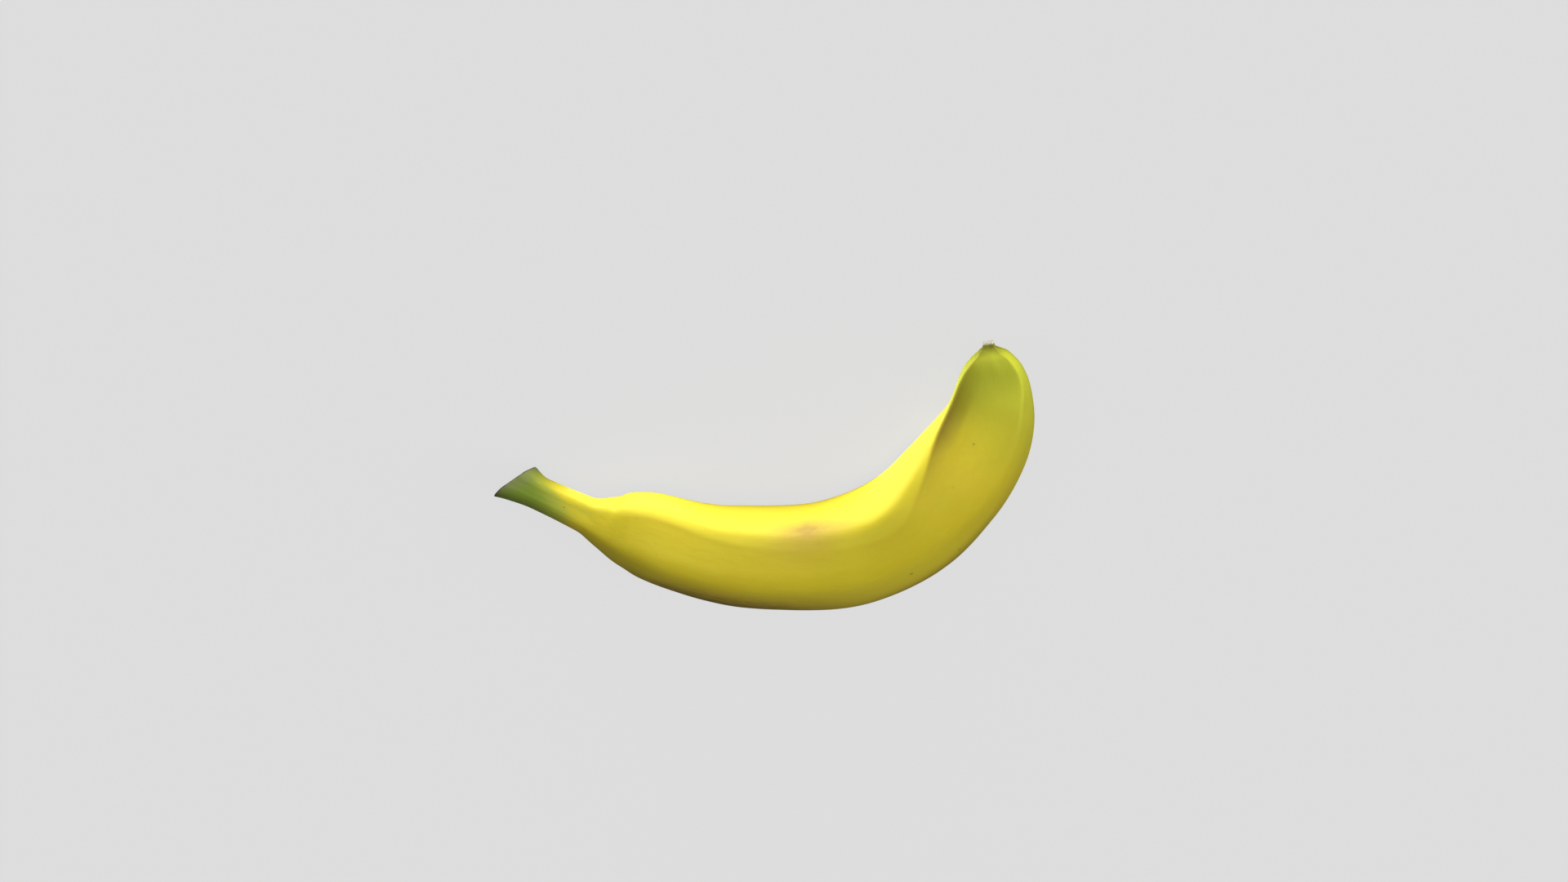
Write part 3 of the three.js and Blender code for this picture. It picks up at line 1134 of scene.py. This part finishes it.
@dataclass(frozen=True)
class CutFinish(Finish):
    """The cut end of the stem: dried, fibrous, grey-green flesh with a dark edge."""

    name: str = "stem_cut"
    mottle: tuple[float, float] = (260.0, 1.0)
    specks: tuple[float, float, float] = (900.0, 0.75, 0.30)
    grain: float = 3200.0
    bumps: Bumps = (
        ("Fine", 0.6, 0.0003), ("Specks", 0.7, 0.0002), ("Pits", 0.4, 0.0001))
    roughness: float = 0.82
    unevenness: float = 0.12
    flesh: Colour = (0.36, 0.32, 0.17)
    dry_flesh: Colour = (0.19, 0.145, 0.075)
    vessel: Colour = (0.040, 0.028, 0.014)
    lip: Colour = (0.085, 0.070, 0.035)
    lip_start: float = 0.006
    lip_end: float = 0.0077

    def colour(self, sheet: NodeSheet, marks: Marks) -> Socket:
        """Return the colour of flesh with dark vessels and lip."""
        length = sheet.add("VectorMath", {0: marks["place"]}, operation="LENGTH")
        edge = sheet.rise(length.outputs["Value"], self.lip_start, self.lip_end)
        colour = sheet.blend(marks["Fine"], self.flesh, self.dry_flesh)
        colour = sheet.blend(sheet.times(marks["Specks"], 0.6), colour, self.vessel)
        return sheet.blend(edge, colour, self.lip)


@dataclass(frozen=True)
class ScarFinish(Finish):
    """The dry scar where the blossom was: pale, papery, with dark pores."""

    name: str = "blossom_scar"
    mottle: tuple[float, float] = (420.0, 1.0)
    specks: tuple[float, float, float] = (1300.0, 0.4, 0.30)
    grain: float = 4200.0
    bumps: Bumps = (
        ("Fine", 0.6, 0.00025), ("Pits", 0.5, 0.0001))
    roughness: float = 0.85
    unevenness: float = 0.1
    paper: Colour = (0.86, 0.82, 0.68)
    shade: Colour = (0.58, 0.53, 0.38)
    pore: Colour = (0.05, 0.035, 0.02)

    def colour(self, sheet: NodeSheet, marks: Marks) -> Socket:
        """Return the colour of paper with dark pores."""
        colour = sheet.blend(sheet.times(marks["Fine"], 0.6), self.paper, self.shade)
        return sheet.blend(sheet.times(marks["Specks"], 0.7), colour, self.pore)


@dataclass(frozen=True)
class FloorFinish(Finish):
    """A plain pale studio surface that glows a little, as an opal light table does."""

    name: str = "pale_floor"
    mottle: tuple[float, float] = (9.0, 1.0)
    specks: tuple[float, float, float] = (20.0, 0.0, 0.1)
    grain: float = 1500.0
    bumps: Bumps = (("Grain", 0.1, 0.00004),)
    roughness: float = 0.75
    specular: float = 0.1
    unevenness: float = 0.05
    tone: Colour = (0.05, 0.05, 0.05)
    worn_tone: Colour = (0.04875, 0.04875, 0.04875)
    shown_glow: Colour = (0.695, 0.695, 0.695)
    lighting_glow: Colour = (0.10, 0.10, 0.10)

    def place(self, sheet: NodeSheet) -> Socket:
        """Return the place on the floor."""
        return sheet.add("TexCoord").outputs["Object"]

    def colour(self, sheet: NodeSheet, marks: Marks) -> Socket:
        """Return the floor's colour."""
        return sheet.blend(marks["Fine"], self.tone, self.worn_tone)

    def glow(self, sheet: NodeSheet) -> dict[str, object]:
        """Return the glow, which shows brighter to the camera than it lights the fruit."""
        seen = sheet.add("LightPath").outputs["Is Camera Ray"]
        return {"Emission Color": sheet.blend(seen, self.lighting_glow, self.shown_glow),
                "Emission Strength": 1.0}


# --- The studio ---


@dataclass(frozen=True)
class Floor:
    """A wide round floor at z = 0."""

    finish: FloorFinish = FloorFinish()
    radius: float = 12.0
    sides: int = 96

    def build(self, effects: Effects) -> bpy.types.Object:
        """Return the floor as an object in the scene."""
        mesh = bpy.data.meshes.new("studio_floor")
        work = bmesh.new()
        bmesh.ops.create_circle(work, cap_ends=True, segments=self.sides, radius=self.radius)
        work.to_mesh(mesh)
        work.free()
        mesh.materials.append(self.finish.material(effects))
        return in_scene("studio_floor", mesh)


@dataclass(frozen=True)
class WideLight:
    """A large soft light far away, given by where it stands and how wide it looks."""

    name: str
    azimuth: float
    elevation: float
    strength: float
    width: float

    def build(self) -> bpy.types.Object:
        """Return the light as an object in the scene."""
        data = bpy.data.lights.new(self.name, "SUN")
        data.energy = self.strength
        data.angle = math.radians(self.width)
        light = in_scene(self.name, data)
        around, above = math.radians(self.azimuth), math.radians(self.elevation)
        towards = Vector((math.sin(around) * math.cos(above),
                          math.cos(around) * math.cos(above), math.sin(above)))
        light.rotation_mode = "QUATERNION"
        light.rotation_quaternion = towards.to_track_quat("Z", "Y")
        return light


@dataclass(frozen=True)
class GlowPanel:
    """A brighter part of the opal floor, beside the fruit."""

    name: str
    across: float
    near: float
    far: float
    width: float
    power: float
    height: float = 0.002

    def build(self) -> bpy.types.Object:
        """Return the panel as an object in the scene, unseen by the camera."""
        data = bpy.data.lights.new(self.name, "AREA")
        data.shape = "RECTANGLE"
        data.size, data.size_y = self.width, self.far - self.near
        data.energy = self.power
        panel = in_scene(self.name, data)
        panel.location = (self.across, (self.near + self.far) / 2, self.height)
        panel.rotation_euler = (math.pi, 0.0, 0.0)
        panel.visible_camera = False
        panel.visible_glossy = False
        return panel


@dataclass(frozen=True)
class Surroundings:
    """An even pale backdrop, which shows but doesn't light the fruit."""

    shown: float = 0.723

    def build(self) -> None:
        """Set the backdrop as the scene's world."""
        world = bpy.data.worlds.new("studio")
        world.use_nodes = True
        world.node_tree.nodes.clear()
        sheet = NodeSheet(world.node_tree)
        seen = sheet.add("LightPath").outputs["Is Camera Ray"]
        level = sheet.add("MapRange", {"Value": seen, "To Max": self.shown}).outputs["Result"]
        background = sheet.add("Background", {"Strength": level})
        sheet.add("OutputWorld", {"Surface": background.outputs["Background"]})
        bpy.context.scene.world = world


@dataclass(frozen=True)
class StudioCamera:
    """A long lens that looks down on the flank, tilted towards the inner curve.

    It aims at a point across and above the stem, at a depth, in millimetres.
    """

    tilt: float = 25.0
    lens: float = 200.0
    sensor: float = 36.0
    field_width: float = 537.6
    across: float = 92.57
    above: float = 13.83
    depth: float = 8.0

    def build(self, pose: RestPose) -> None:
        """Add the camera, set as the scene's, for the fruit as it lies."""
        tilt = math.radians(self.tilt)
        towards = np.array([0.0, math.sin(tilt), math.cos(tilt)])
        upward = np.array([0.0, math.cos(tilt), -math.sin(tilt)])
        target = np.array([self.across, 0.0, 0.0]) + self.above * upward + self.depth * towards
        distance = self.lens * self.field_width / self.sensor * MM
        data = bpy.data.cameras.new("studio_camera")
        data.lens, data.sensor_width = self.lens, self.sensor
        data.clip_start, data.clip_end = 0.05, 50.0
        camera = in_scene("studio_camera", data)
        back, up = pose.direction(towards), pose.direction(upward)
        camera.location = pose.place_free(target) + back * distance
        camera.rotation_mode = "QUATERNION"
        turn = Matrix(np.array([up.cross(back), up, back]).T.tolist())
        camera.rotation_quaternion = turn.to_quaternion()
        bpy.context.scene.camera = camera


LIGHTS = (
    WideLight("front_soft", azimuth=0.0, elevation=52.0, strength=0.90, width=40.0),
    WideLight("low_soft", azimuth=0.0, elevation=5.0, strength=0.95, width=24.0),
    WideLight("tip_side_soft", azimuth=90.0, elevation=30.0, strength=1.24, width=40.0),
    WideLight("stem_side_soft", azimuth=-90.0, elevation=45.0, strength=0.42, width=40.0),
    WideLight("back_soft", azimuth=180.0, elevation=6.0, strength=0.20, width=60.0),
    GlowPanel("bay_glow", across=0.0, near=-0.01, far=0.12, width=0.13, power=0.158),
    GlowPanel("tip_glow", across=0.106, near=0.074, far=0.134, width=0.04, power=0.115),
)
FINISHES = {
    Region.PEEL: PeelFinish(),
    Region.STEM_CUT: CutFinish(),
    Region.BLOSSOM_SCAR: ScarFinish(),
}


def main() -> None:
    """Build the fruit, the studio and the camera, and report each piece."""
    logging.basicConfig(level=logging.INFO, format="%(name)s: %(message)s")
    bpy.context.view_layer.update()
    form = FruitForm(FruitSizes())
    pose = RestPose.of(form)
    effects = Effects()
    skin = BananaSkin(form, pose).build()
    for region in Region:
        skin.data.materials.append(FINISHES[region].material(effects))
    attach(skin, "root")
    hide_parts(CAD_NODE)
    LOG.info("%s: %d faces", skin.name, len(skin.data.polygons))
    floor = Floor().build(effects)
    LOG.info("%s: %d sides", floor.name, len(floor.data.vertices))
    for light in LIGHTS:
        LOG.info("%s: built", light.build().name)
    Surroundings().build()
    StudioCamera().build(pose)
    bpy.context.scene.view_settings.view_transform = "Standard"


if __name__ == "__main__":
    main()
